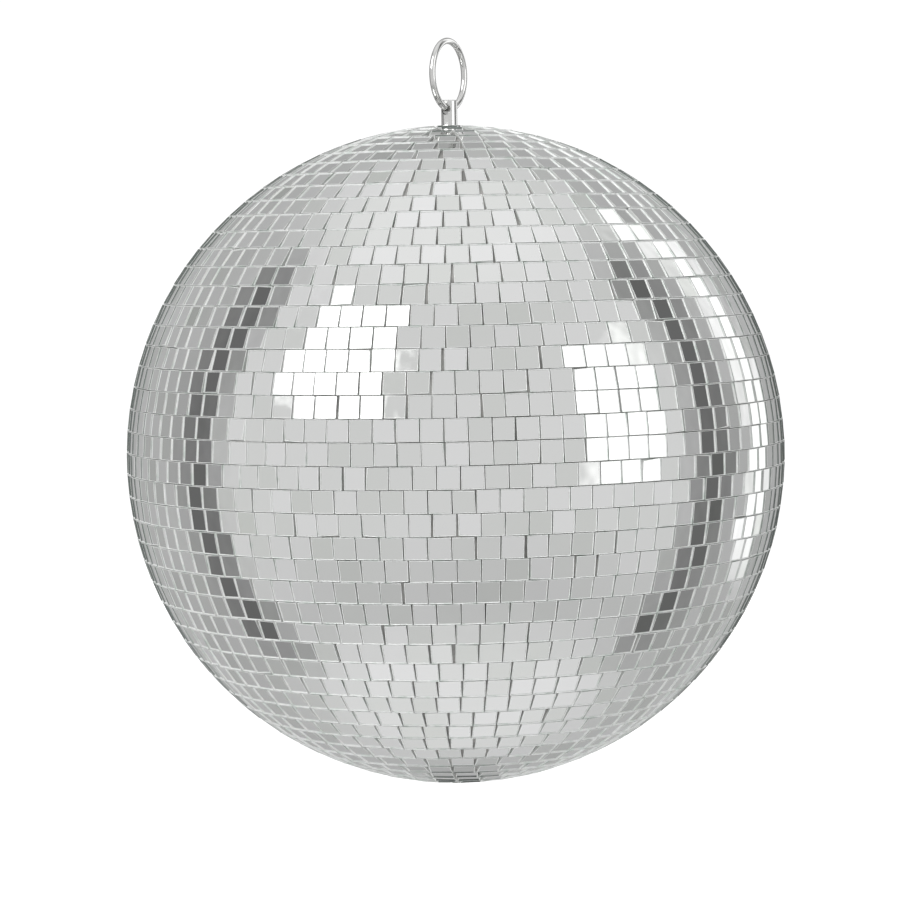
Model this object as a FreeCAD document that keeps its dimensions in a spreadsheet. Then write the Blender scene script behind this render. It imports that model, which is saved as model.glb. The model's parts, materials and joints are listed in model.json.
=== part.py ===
import FreeCAD, Part
import Sketcher
import math
import os

# A mirror ball that hangs by a wire ring. Millimetres, +Z up. The origin is the point at the top
# inside of the ring where a hook bears; the ball's axis is Z and the stem's cross-hole lies along X.

SIZES = {
    # tiled ball
    "ball_diameter": 305.0,      # over the middles of the tile faces
    "tile_side": 9.8,
    "tile_thick": 1.5,
    "row_gap": 0.2,              # between a row's corners and the backs of the row below
    "side_gap": 0.25,            # least gap between the backs of neighbouring tiles of a row
    "row_stagger": 0.382,        # share of a tile by which each row starts further round
    "bed_gap": 0.05,             # between the glue and the middle of a tile's back
    "glue_thick": 0.3,
    "disc_gap": 0.6,             # round the bottom mirror
    # core
    "core_wall": 2.5,
    "lap_height": 8.0,
    "lap_gap": 0.1,
    # ring
    "ring_diameter": 34.2,       # outside
    "wire_diameter": 3.0,
    "split_gap": 1.3,            # between the ring's two ends
    "split_angle": 28.0,         # of the split, from the top of the ring, degrees
    # stem
    "post_diameter": 7.5,
    "hole_diameter": 4.6,
    "hole_height": 7.5,          # of the cross-hole's axis above the top of the ball
    "post_above_hole": 4.2,
    "post_chamfer": 0.6,
    "hole_rounding": 0.3,        # of the cross-hole's two mouths
    "hang_gap": 0.1,             # between the wire and the wall of the hole that rests on it
    "collar_diameter": 12.0,
    "collar_thick": 1.2,
    "shank_diameter": 6.0,
    "shank_past_nut": 3.0,
    # fittings on the shank
    "shank_gap": 0.2,            # radial, in the core, the plate and the washers
    "thread_gap": 0.05,          # radial, in the nut
    "washer_diameter": 16.0,
    "washer_thick": 0.8,
    "washer_gap": 0.5,           # radial, from the washer to the glue round it
    "plate_diameter": 70.0,
    "plate_thick": 1.2,
    "plate_gap": 0.05,           # between the plate and the core's inside
    "spring_washer_diameter": 10.6,
    "spring_washer_thick": 1.5,
    "spring_washer_slit": 1.0,
    "nut_across_flats": 10.0,
    "nut_height": 5.0,
}

doc = FreeCAD.newDocument("MirrorBall")
sheet = doc.addObject("Spreadsheet::Sheet", "Sizes")
for line, (alias, number) in enumerate(SIZES.items(), start=1):
    sheet.set(f"A{line}", alias)
    sheet.set(f"B{line}", str(number))
    sheet.setAlias(f"B{line}", alias)
doc.recompute()

# Expressions shared by several pieces. Ball pieces are drawn round the ball's centre.
FACE_RADIUS = "Sizes.ball_diameter / 2"
BACK_RADIUS = f"({FACE_RADIUS} - Sizes.tile_thick)"
GLUE_RADIUS = f"({BACK_RADIUS} - Sizes.bed_gap)"
CORE_RADIUS = f"({GLUE_RADIUS} - Sizes.glue_thick)"
CORE_INSIDE = f"({CORE_RADIUS} - Sizes.core_wall)"
LAP_RADIUS = f"({CORE_RADIUS} - Sizes.core_wall / 2)"
SEAT_RADIUS = "(Sizes.washer_diameter / 2 + Sizes.washer_gap)"
SEAT_HEIGHT = f"sqrt({CORE_RADIUS}^2 - {SEAT_RADIUS}^2)"
COLLAR_BOTTOM = f"({SEAT_HEIGHT} + Sizes.washer_thick)"
BORE_RADIUS = "(Sizes.shank_diameter / 2 + Sizes.shank_gap)"
PLATE_OUTSIDE = f"({CORE_INSIDE} - Sizes.plate_gap)"
PLATE_INSIDE = f"({PLATE_OUTSIDE} - Sizes.plate_thick)"
SPRING_WASHER_TOP = f"sqrt({PLATE_INSIDE}^2 - (Sizes.spring_washer_diameter / 2)^2)"
NUT_TOP = f"({SPRING_WASHER_TOP} - Sizes.spring_washer_thick)"
NUT_BOTTOM = f"({NUT_TOP} - Sizes.nut_height)"
SHANK_END = f"({NUT_BOTTOM} - Sizes.shank_past_nut)"
HOLE_HEIGHT = f"({FACE_RADIUS} + Sizes.hole_height)"
POST_TOP = f"({HOLE_HEIGHT} + Sizes.post_above_hole)"

# The hole's upper wall hangs on the wire at the hole's two mouths, where the ring's inner circle
# stands higher than at its lowest point.
RING_INSIDE = "(Sizes.ring_diameter / 2 - Sizes.wire_diameter)"
HOLE_BELOW_RING_CENTRE = (
    f"(sqrt({RING_INSIDE}^2 - (Sizes.post_diameter / 2)^2) + Sizes.hole_diameter / 2 - Sizes.hang_gap)"
)
BALL_CENTRE = f"(-{RING_INSIDE} - {HOLE_BELOW_RING_CENTRE} - {HOLE_HEIGHT})"

pieces = []


def number(expression):
    """The value of an expression over the sheet's sizes."""
    found = sheet.evalExpression(expression)
    return float(getattr(found, "Value", found))


def keep(piece, label):
    """Names a finished ball piece and moves it from the ball's centre to its place under the ring."""
    piece.Label = label
    piece.setExpression("Placement.Base.z", BALL_CENTRE)
    pieces.append(piece)


def bind(item, **expressions):
    """Binds properties of a document object to expressions over the sheet."""
    for name, expression in expressions.items():
        item.setExpression(name, expression)
    return item


def origin_item(body, role):
    """A plane or axis of the body's own origin."""
    return next(item for item in body.Origin.OriginFeatures if item.Role == role)


def new_sketch(body, name, plane):
    sketch = body.newObject("Sketcher::SketchObject", name)
    sketch.AttachmentSupport = [(origin_item(body, plane), "")]
    sketch.MapMode = "FlatFace"
    return sketch


def place_point(sketch, element, point, x, y):
    """Holds a point of a drawn element at two expressions, x and y, from the sketch's origin."""
    for kind, expression in (("DistanceX", x), ("DistanceY", y)):
        placed = sketch.addConstraint(Sketcher.Constraint(kind, -1, 1, element, point, number(expression)))
        sketch.setExpression(f"Constraints[{placed}]", expression)


def draw_outline(sketch, corners):
    """A closed outline of straight lines, each corner placed by two expressions, x and y."""
    spots = [FreeCAD.Vector(number(x), number(y), 0) for x, y in corners]
    for index, spot in enumerate(spots):
        sketch.addGeometry(Part.LineSegment(spot, spots[(index + 1) % len(spots)]))
    for index, (x, y) in enumerate(corners):
        following = (index + 1) % len(corners)
        sketch.addConstraint(Sketcher.Constraint("Coincident", index, 2, following, 1))
        place_point(sketch, index, 1, x, y)


def draw_circle(sketch, radius, x="0", y="0"):
    centre = FreeCAD.Vector(number(x), number(y), 0)
    circle = sketch.addGeometry(Part.Circle(centre, FreeCAD.Vector(0, 0, 1), number(radius)))
    sized = sketch.addConstraint(Sketcher.Constraint("Radius", circle, number(radius)))
    sketch.setExpression(f"Constraints[{sized}]", radius)
    place_point(sketch, circle, 3, x, y)


def pad_at(body, name, sketch, bottom, height):
    """A pad of the sketch from one height to another."""
    sketch.setExpression("AttachmentOffset.Base.z", bottom)
    pad = body.newObject("PartDesign::Pad", name)
    pad.Profile = sketch
    return bind(pad, Length=height)


# ---------------------------------------------------------------- ring and stem

def make_ring():
    """Round wire bent to a circle in the XZ plane, with a small split beside its top."""
    ring = bind(
        doc.addObject("Part::Torus", "HangingRing"),
        Radius1="(Sizes.ring_diameter - Sizes.wire_diameter) / 2",
        Radius2="Sizes.wire_diameter / 2",
        Angle3="360deg - Sizes.split_gap / (Sizes.ring_diameter - Sizes.wire_diameter) * 2rad",
    )
    doc.recompute()
    split_centre = 90.0 - number("Sizes.split_angle")
    first_end = split_centre + (360.0 - ring.Angle3.Value) / 2
    ring.Placement = FreeCAD.Placement(FreeCAD.Vector(), FreeCAD.Rotation(0, -first_end, 90))
    ring.setExpression("Placement.Base.z", f"-{RING_INSIDE}")
    ring.Label = "hanging_ring"
    pieces.append(ring)


def hole_mouths(drilled):
    """The names of the edges where the cross-hole breaks out of the post: those level with its axis."""
    level = number(HOLE_HEIGHT)
    return [
        f"Edge{index}"
        for index, edge in enumerate(drilled.Shape.Edges, start=1)
        if abs(edge.BoundBox.Center.z - level) < number("Sizes.hole_diameter / 4")
        and edge.BoundBox.ZLength > number("Sizes.hole_diameter / 2")
        and edge.BoundBox.ZLength < number("Sizes.hole_diameter * 1.05")
        and not isinstance(edge.Curve, Part.Line)
    ]


def make_stem():
    """A turned stem: post, collar and shank, cross-drilled along X for the ring."""
    body = doc.addObject("PartDesign::Body", "HangerStem")
    profile = new_sketch(body, "StemProfile", "XZ_Plane")
    draw_outline(profile, [
        ("0", SHANK_END),
        ("Sizes.shank_diameter / 2", SHANK_END),
        ("Sizes.shank_diameter / 2", COLLAR_BOTTOM),
        ("Sizes.collar_diameter / 2", COLLAR_BOTTOM),
        ("Sizes.collar_diameter / 2", f"{COLLAR_BOTTOM} + Sizes.collar_thick"),
        ("Sizes.post_diameter / 2", f"{COLLAR_BOTTOM} + Sizes.collar_thick"),
        ("Sizes.post_diameter / 2", f"{POST_TOP} - Sizes.post_chamfer"),
        ("Sizes.post_diameter / 2 - Sizes.post_chamfer", POST_TOP),
        ("0", POST_TOP),
    ])
    turned = body.newObject("PartDesign::Revolution", "StemTurning")
    turned.Profile = profile
    turned.ReferenceAxis = (profile, ["V_Axis"])
    turned.Angle = 360
    hole = new_sketch(body, "CrossHoleCircle", "YZ_Plane")
    draw_circle(hole, "Sizes.hole_diameter / 2", "0", HOLE_HEIGHT)
    drilled = body.newObject("PartDesign::Pocket", "CrossHole")
    drilled.Profile = hole
    drilled.Midplane = True
    drilled.setExpression("Length", "Sizes.post_diameter * 2")
    doc.recompute()
    mouths = body.newObject("PartDesign::Fillet", "HoleMouths")
    mouths.Base = (drilled, hole_mouths(drilled))
    mouths.setExpression("Radius", "Sizes.hole_rounding")
    body.Tip = mouths
    keep(body, "hanger_stem")


# ---------------------------------------------------------------- fittings on the shank

def make_seat_washer():
    body = doc.addObject("PartDesign::Body", "SeatWasher")
    outline = new_sketch(body, "WasherOutline", "XY_Plane")
    draw_circle(outline, "Sizes.washer_diameter / 2")
    draw_circle(outline, BORE_RADIUS)
    pad_at(body, "WasherDisc", outline, SEAT_HEIGHT, "Sizes.washer_thick")
    keep(body, "seat_washer")


def make_spring_washer():
    """A flattened split washer."""
    body = doc.addObject("PartDesign::Body", "SpringWasher")
    outline = new_sketch(body, "SpringWasherOutline", "XY_Plane")
    draw_circle(outline, "Sizes.spring_washer_diameter / 2")
    draw_circle(outline, BORE_RADIUS)
    pad_at(body, "SpringWasherRing", outline, NUT_TOP, "Sizes.spring_washer_thick")
    slit = new_sketch(body, "SlitOutline", "XY_Plane")
    slit.setExpression("AttachmentOffset.Base.z", SPRING_WASHER_TOP)
    draw_outline(slit, [
        ("0", "-Sizes.spring_washer_slit / 2"),
        ("Sizes.spring_washer_diameter", "-Sizes.spring_washer_slit / 2"),
        ("Sizes.spring_washer_diameter", "Sizes.spring_washer_slit / 2"),
        ("0", "Sizes.spring_washer_slit / 2"),
    ])
    cut = body.newObject("PartDesign::Pocket", "SpringWasherSlit")
    cut.Profile = slit
    cut.Type = "ThroughAll"
    keep(body, "spring_washer")


def make_nut():
    body = doc.addObject("PartDesign::Body", "HexNut")
    outline = new_sketch(body, "NutOutline", "XY_Plane")
    corner = "Sizes.nut_across_flats / 2 / cos(30deg)"
    draw_outline(outline, [
        (f"{corner} * cos({60 * turn}deg)", f"{corner} * sin({60 * turn}deg)") for turn in range(6)
    ])
    draw_circle(outline, "Sizes.shank_diameter / 2 + Sizes.thread_gap")
    pad_at(body, "NutBlock", outline, NUT_BOTTOM, "Sizes.nut_height")
    keep(body, "hex_nut")


# ---------------------------------------------------------------- shells

def ball_zone(name, radius, low=-90, high=90):
    """The part of a solid ball between two latitudes, in degrees."""
    zone = bind(doc.addObject("Part::Sphere", name), Radius=radius)
    zone.Angle1 = low
    zone.Angle2 = high
    return zone


def rod(name, radius, bottom, height):
    """An upright cylinder on the ball's axis."""
    cylinder = bind(doc.addObject("Part::Cylinder", name), Radius=radius, Height=height)
    cylinder.setExpression("Placement.Base.z", bottom)
    return cylinder


def combine(kind, name, first, second):
    result = doc.addObject(f"Part::{kind}", name)
    result.Base = first
    result.Tool = second
    return result


def shell(name, outside, inside, low=-90, high=90):
    """A spherical shell between two radii, cut flat at the equator when low or high is 0."""
    outer = ball_zone(f"{name}Outside", outside, low, high)
    inner = ball_zone(f"{name}Inside", inside)
    return combine("Cut", f"{name}Shell", outer, inner)


def make_inner_plate():
    """A steel disc dished to the inside of the core, bored for the shank."""
    dome = shell("Plate", PLATE_OUTSIDE, PLATE_INSIDE, 0, 90)
    disc = rod("PlateDisc", "Sizes.plate_diameter / 2", "0", FACE_RADIUS)
    bore = rod("PlateBore", BORE_RADIUS, "0", FACE_RADIUS)
    dished = combine("Common", "PlateDished", dome, disc)
    keep(combine("Cut", "InnerPlate", dished, bore), "inner_plate")


def make_core_upper():
    """The upper half: flat seat and bore at the pole, and a rebate inside its edge for the lap."""
    half = shell("CoreUpper", CORE_RADIUS, CORE_INSIDE, 0, 90)
    above_seat = rod("AboveSeat", f"2 * {SEAT_RADIUS}", SEAT_HEIGHT, "Sizes.core_wall * 2")
    seated = combine("Cut", "CoreUpperSeated", half, above_seat)
    bore = rod("CoreBore", BORE_RADIUS, "0", FACE_RADIUS)
    bored = combine("Cut", "CoreUpperBored", seated, bore)
    lap_ball = ball_zone("RebateBall", LAP_RADIUS)
    lap_slab = rod("RebateSlab", FACE_RADIUS, "0", "Sizes.lap_height")
    rebate = combine("Common", "Rebate", lap_ball, lap_slab)
    keep(combine("Cut", "CoreUpper", bored, rebate), "core_upper")


def make_core_lower():
    """The lower half, with a thinner spigot that stands inside the upper half's rebate."""
    half = shell("CoreLower", CORE_RADIUS, CORE_INSIDE, -90, 0)
    ring = shell("Spigot", f"{LAP_RADIUS} - Sizes.lap_gap", CORE_INSIDE)
    spigot_height = "Sizes.core_wall + Sizes.lap_height - Sizes.lap_gap"
    slab = rod("SpigotSlab", FACE_RADIUS, "-Sizes.core_wall", spigot_height)
    spigot = combine("Common", "SpigotRing", ring, slab)
    keep(combine("Fuse", "CoreLower", half, spigot), "core_lower")


def make_glue_coat():
    """Adhesive over the whole core, open at the seat of the washer."""
    coat = shell("Glue", GLUE_RADIUS, CORE_RADIUS)
    opening = rod("GlueOpening", SEAT_RADIUS, "0", FACE_RADIUS)
    keep(combine("Cut", "GlueCoat", coat, opening), "glue_coat")


# ---------------------------------------------------------------- tiles

ROW_STEP = f"(2 * atan((Sizes.tile_side + Sizes.row_gap) / 2 / {BACK_RADIUS}))"

# Each row's latitude follows from the one nearer the equator, so it has a sheet of its own.
row_sheet = doc.addObject("Spreadsheet::Sheet", "Rows")


def edge_radius(latitude):
    """From the ball's axis to the middle of a tile's back edge on the side nearer the pole."""
    return f"({BACK_RADIUS} * cos({latitude}) - Sizes.tile_side / 2 * sin({latitude}))"


def corner_rise(latitude):
    """How much further the next row turns towards the pole, so that the lower corners of its tiles,
    which stand out past the middles of their edges, clear the tiles of this row."""
    radius = edge_radius(latitude)
    stands_out = f"(sqrt({radius}^2 + (Sizes.tile_side / 2)^2) - {radius})"
    return f"asin({stands_out} * sin({latitude}) / {BACK_RADIUS})"


def lay_out_rows():
    """Fills the sheet of latitudes from the equator to the washer's seat. Returns the last row's number."""
    seat_latitude = math.degrees(math.acos(number(f"{SEAT_RADIUS} / {BACK_RADIUS}")))
    half_row = math.degrees(math.atan(number(f"Sizes.tile_side / 2 / {BACK_RADIUS}")))
    row = 0
    row_sheet.set("A1", "=0deg")
    row_sheet.setAlias("A1", "latitude_0")
    doc.recompute()
    while True:
        below = f"Rows.latitude_{row}"
        latitude = f"{below} + {ROW_STEP} + {corner_rise(below)}"
        if number(latitude) + half_row > seat_latitude:
            return row
        row += 1
        row_sheet.set(f"A{row + 1}", "=" + latitude.replace("Rows.", ""))
        row_sheet.setAlias(f"A{row + 1}", f"latitude_{row}")
        doc.recompute()


def turned_about(x, y, z):
    """A placement with a turn about the given axis, whose angle an expression then sets."""
    return FreeCAD.Placement(FreeCAD.Vector(), FreeCAD.Rotation(FreeCAD.Vector(x, y, z), 1))


def make_row(row, label):
    """One ring of square tiles. Each lies flat on the ball, as many as clear each other's corners."""
    body = doc.addObject("PartDesign::Body", f"Row{label}")
    body.AllowCompound = True
    outline = new_sketch(body, f"Tile{label}", "XY_Plane")
    half = "Sizes.tile_side / 2"
    draw_outline(outline, [(f"-{half}", f"-{half}"), (half, f"-{half}"), (half, half), (f"-{half}", half)])
    latitude = f"Rows.latitude_{abs(row)}"
    side = 1 if row >= 0 else -1
    from_pole = f"(90deg - {side} * {latitude})"
    outline.AttachmentOffset = turned_about(0, 1, 0)
    outline.setExpression("AttachmentOffset.Rotation.Angle", from_pole)
    outline.setExpression("AttachmentOffset.Base.x", f"{BACK_RADIUS} * sin({from_pole})")
    outline.setExpression("AttachmentOffset.Base.z", f"{BACK_RADIUS} * cos({from_pole})")
    tile = body.newObject("PartDesign::Pad", f"Pad{label}")
    tile.Profile = outline
    tile.setExpression("Length", "Sizes.tile_thick")
    ring = body.newObject("PartDesign::PolarPattern", f"Ring{label}")
    ring.Originals = [tile]
    ring.Axis = (origin_item(body, "Z_Axis"), [""])
    ring.Angle = 360
    half_tile_angle = f"atan((Sizes.tile_side + Sizes.side_gap) / 2 / {edge_radius(latitude)})"
    ring.setExpression("Occurrences", f"floor(180deg / {half_tile_angle})")
    body.Tip = ring
    body.Placement = turned_about(0, 0, 1)
    share = f"mod(mod({row} * Sizes.row_stagger; 1) + 1; 1)"
    body.setExpression("Placement.Rotation.Angle", f"{share} * 360deg / {ring.Name}.Occurrences")
    keep(body, label)


def make_rows(last_row):
    make_row(0, "tile_row_equator")
    for row in range(1, last_row + 1):
        make_row(row, f"tile_row_upper_{row:02d}")
        make_row(-row, f"tile_row_lower_{row:02d}")


def make_bottom_mirror(last_row):
    """A round mirror in the hole that the last row leaves at the lower pole."""
    body = doc.addObject("PartDesign::Body", "BottomMirror")
    outline = new_sketch(body, "BottomMirrorOutline", "XY_Plane")
    hole_radius = edge_radius(f"Rows.latitude_{last_row}")
    draw_circle(outline, f"{hole_radius} - Sizes.disc_gap")
    pad_at(body, "BottomMirrorDisc", outline, f"-{FACE_RADIUS}", "Sizes.tile_thick")
    keep(body, "bottom_mirror")


make_ring()
make_stem()
make_seat_washer()
make_inner_plate()
make_spring_washer()
make_nut()
make_core_upper()
make_core_lower()
make_glue_coat()
last_row_number = lay_out_rows()
make_rows(last_row_number)
make_bottom_mirror(last_row_number)
doc.recompute()

failed = [item.Name for item in doc.Objects if {"Invalid", "Error"} & set(item.State)]
empty = [piece.Label for piece in pieces if piece.Shape.isNull() or not piece.Shape.isValid()]
if failed or empty:
    raise RuntimeError(f"failed: {failed}, no valid shape: {empty}")

os.makedirs("parts", exist_ok=True)
for piece in pieces:
    piece.Shape.exportStep(f"parts/{piece.Label}.step")
print(len(pieces), "pieces,", sum(len(piece.Shape.Solids) for piece in pieces), "solids")
print("cross-hole axis at z", round(number(f"-{RING_INSIDE} - {HOLE_BELOW_RING_CENTRE}"), 3))
print("ball centre at z", round(number(BALL_CENTRE), 3))
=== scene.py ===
"""A mirror ball on its hanging ring: the finished looks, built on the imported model.

Every tile is a slab of silvered glass with ground edges, set by hand on a lumpy bed of glue.
The wire ring, the turned stem and the round mirror at the lower pole are made here too.
The hidden fittings keep the model's own solids and only get their finishes.
"""
import json
import logging
import math
from dataclasses import dataclass
from enum import Enum
from typing import ClassVar

import bpy
import numpy as np
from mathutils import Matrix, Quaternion, Vector


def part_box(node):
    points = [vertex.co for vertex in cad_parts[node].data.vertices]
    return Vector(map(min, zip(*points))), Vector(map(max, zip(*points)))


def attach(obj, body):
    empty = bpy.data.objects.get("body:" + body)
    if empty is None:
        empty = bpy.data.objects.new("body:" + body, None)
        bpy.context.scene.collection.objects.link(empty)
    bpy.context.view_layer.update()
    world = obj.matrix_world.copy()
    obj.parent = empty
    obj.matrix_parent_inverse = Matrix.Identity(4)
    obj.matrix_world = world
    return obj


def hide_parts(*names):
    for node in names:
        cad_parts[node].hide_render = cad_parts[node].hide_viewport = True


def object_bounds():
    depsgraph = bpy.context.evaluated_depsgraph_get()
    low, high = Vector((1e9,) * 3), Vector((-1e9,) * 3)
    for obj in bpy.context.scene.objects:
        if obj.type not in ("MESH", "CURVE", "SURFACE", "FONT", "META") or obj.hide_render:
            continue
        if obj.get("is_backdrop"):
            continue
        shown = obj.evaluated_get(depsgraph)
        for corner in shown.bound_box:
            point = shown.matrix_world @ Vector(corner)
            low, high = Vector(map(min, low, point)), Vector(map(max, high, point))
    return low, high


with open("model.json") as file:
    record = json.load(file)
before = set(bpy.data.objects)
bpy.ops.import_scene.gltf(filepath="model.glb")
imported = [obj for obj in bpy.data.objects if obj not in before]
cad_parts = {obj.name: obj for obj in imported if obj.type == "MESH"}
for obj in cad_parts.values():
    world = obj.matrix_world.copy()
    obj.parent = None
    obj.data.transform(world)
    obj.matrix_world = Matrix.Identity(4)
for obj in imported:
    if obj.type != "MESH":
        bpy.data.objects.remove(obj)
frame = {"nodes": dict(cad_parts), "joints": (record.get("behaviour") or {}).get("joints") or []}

MM = 0.001
Colour = tuple[float, float, float]
Socket = bpy.types.NodeSocket
Surface = tuple[Socket, Socket, Socket]
log = logging.getLogger("mirror_ball")


class Body(Enum):
    """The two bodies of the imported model."""

    RING = "ring"
    BALL = "ball"


class Slot(Enum):
    """The material slots that the model's record names."""

    MIRROR_GLASS = "mirror_glass"
    RING_CHROME = "ring_chrome"
    STEM_CHROME = "stem_chrome"
    ZINC_STEEL = "zinc_steel"
    CORE_PLASTIC = "core_plastic"
    TILE_GLUE = "tile_glue"


class TileSide(Enum):
    """The kinds of surface on a tile, in the order of its material slots."""

    MIRROR = 0
    GROUND_EDGE = 1
    PAINTED_BACK = 2
    SUNK_EDGE = 3
    CUT_SIDE = 4


# ---------------------------------------------------------------- nodes


class NodeSheet:
    """A node tree, with short ways to add nodes and to join them."""

    def __init__(self, tree: bpy.types.NodeTree) -> None:
        """Empties the tree.

        Args:
            tree: The node tree of a material or a world.
        """
        self.tree = tree
        tree.nodes.clear()

    def add(self, kind: str, **settings: object) -> bpy.types.Node:
        """Adds a node.

        Args:
            kind: Blender's name for the kind of node.
            settings: Values of the node's own properties.

        Returns:
            The new node.
        """
        node = self.tree.nodes.new(kind)
        for name, value in settings.items():
            setattr(node, name, value)
        return node

    def feed(self, socket: Socket, value: "Socket | float | tuple") -> None:
        """Joins an input to an output, or sets it to a plain value.

        Args:
            socket: The input.
            value: An output of another node, or a number, or several.
        """
        if isinstance(value, bpy.types.NodeSocket):
            self.tree.links.new(value, socket)
        else:
            socket.default_value = value

    def math(self, operation: str, *values: "Socket | float") -> Socket:
        """Works out a number from one to three others.

        Args:
            operation: Blender's name for the sum.
            values: The inputs, in order.

        Returns:
            The output with the result.
        """
        node = self.add("ShaderNodeMath", operation=operation)
        for socket, value in zip(node.inputs, values):
            self.feed(socket, value)
        return node.outputs[0]

    def vector(self, operation: str, *values: "Socket | tuple") -> Socket:
        """Works out a vector, or the number of a dot product, from vectors.

        Args:
            operation: Blender's name for the sum.
            values: The inputs, in order.

        Returns:
            The output with the result.
        """
        node = self.add("ShaderNodeVectorMath", operation=operation)
        for socket, value in zip(node.inputs, values):
            self.feed(socket, value)
        return node.outputs["Value" if operation == "DOT_PRODUCT" else "Vector"]

    def noise(self, where: Socket, scale: float, detail: float = 2.0) -> Socket:
        """Adds a smooth noise between 0 and 1.

        Args:
            where: The coordinates that it is read at.
            scale: Lumps per metre, or per unit of the coordinates.
            detail: How many finer layers it has.

        Returns:
            The output with the noise.
        """
        node = self.add("ShaderNodeTexNoise")
        self.feed(node.inputs["Vector"], where)
        node.inputs["Scale"].default_value = scale
        node.inputs["Detail"].default_value = detail
        return node.outputs["Fac"]

    def spread(self, value: Socket, low: float, high: float, to_low: float, to_high: float) -> Socket:
        """Carries a number from one span to another, and stops at its ends.

        Args:
            value: The number.
            low: Lower end of the first span.
            high: Upper end of the first span.
            to_low: What the lower end becomes.
            to_high: What the upper end becomes.

        Returns:
            The output with the carried number.
        """
        node = self.add("ShaderNodeMapRange", interpolation_type="SMOOTHSTEP")
        for name, number in zip(("From Min", "From Max", "To Min", "To Max"), (low, high, to_low, to_high)):
            node.inputs[name].default_value = number
        self.feed(node.inputs["Value"], value)
        return node.outputs["Result"]

    def blend(self, share: Socket, first: "Socket | Colour", second: "Socket | Colour") -> Socket:
        """Mixes two colours.

        Args:
            share: The second colour's share, from 0 to 1.
            first: A colour, or an output with one.
            second: A colour, or an output with one.

        Returns:
            The output with the mixed colour.
        """
        node = self.add("ShaderNodeMix", data_type="RGBA")
        self.feed(node.inputs[0], share)
        for socket, colour in ((node.inputs[6], first), (node.inputs[7], second)):
            self.feed(socket, (*colour, 1.0) if isinstance(colour, tuple) else colour)
        return node.outputs[2]

    def bump(self, height: Socket, depth: float) -> Socket:
        """Turns a height into a dented or wavy surface.

        Args:
            height: The height, from 0 to 1.
            depth: What a height of 1 stands for, in metres.

        Returns:
            The output with the surface's direction.
        """
        node = self.add("ShaderNodeBump")
        node.inputs["Strength"].default_value = 1.0
        node.inputs["Distance"].default_value = depth
        self.feed(node.inputs["Height"], height)
        return node.outputs["Normal"]

    def place(self) -> Socket:
        """Gives the place on the piece, in metres."""
        return self.add("ShaderNodeTexCoord").outputs["Object"]

    def attribute(self, name: str, part: str = "Vector") -> Socket:
        """Reads one of the mesh's own attributes.

        Args:
            name: The attribute's name.
            part: Which output to give: Vector, Color or Fac.

        Returns:
            The output with the attribute.
        """
        return self.add("ShaderNodeAttribute", attribute_name=name).outputs[part]

    def split(self, vector: Socket) -> tuple[Socket, Socket, Socket]:
        """Takes a vector apart into its three numbers."""
        node = self.add("ShaderNodeSeparateXYZ")
        self.feed(node.inputs[0], vector)
        return node.outputs[0], node.outputs[1], node.outputs[2]

    def join(self, first: Socket, second: Socket) -> Socket:
        """Puts two numbers together as a flat vector."""
        node = self.add("ShaderNodeCombineXYZ")
        self.feed(node.inputs[0], first)
        self.feed(node.inputs[1], second)
        return node.outputs[0]


# ---------------------------------------------------------------- finishes


@dataclass(frozen=True)
class Finish:
    """A finish whose nodes end in one shader. Each kind of finish adds its own detail."""

    name: str
    metal: ClassVar[float] = 0.0

    def dress(self, sheet: NodeSheet) -> Surface:
        """Adds this finish's own nodes and gives colour, roughness and the surface's direction."""
        raise NotImplementedError

    def build(self) -> bpy.types.Material:
        """Makes the material.

        Returns:
            The finished material.
        """
        material = bpy.data.materials.new(self.name)
        material.use_nodes = True
        sheet = NodeSheet(material.node_tree)
        shader = sheet.add("ShaderNodeBsdfPrincipled")
        output = sheet.add("ShaderNodeOutputMaterial")
        sheet.feed(output.inputs["Surface"], shader.outputs["BSDF"])
        for name, value in zip(("Base Color", "Roughness", "Normal"), self.dress(sheet)):
            sheet.feed(shader.inputs[name], value)
        shader.inputs["Metallic"].default_value = self.metal
        return material


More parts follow.
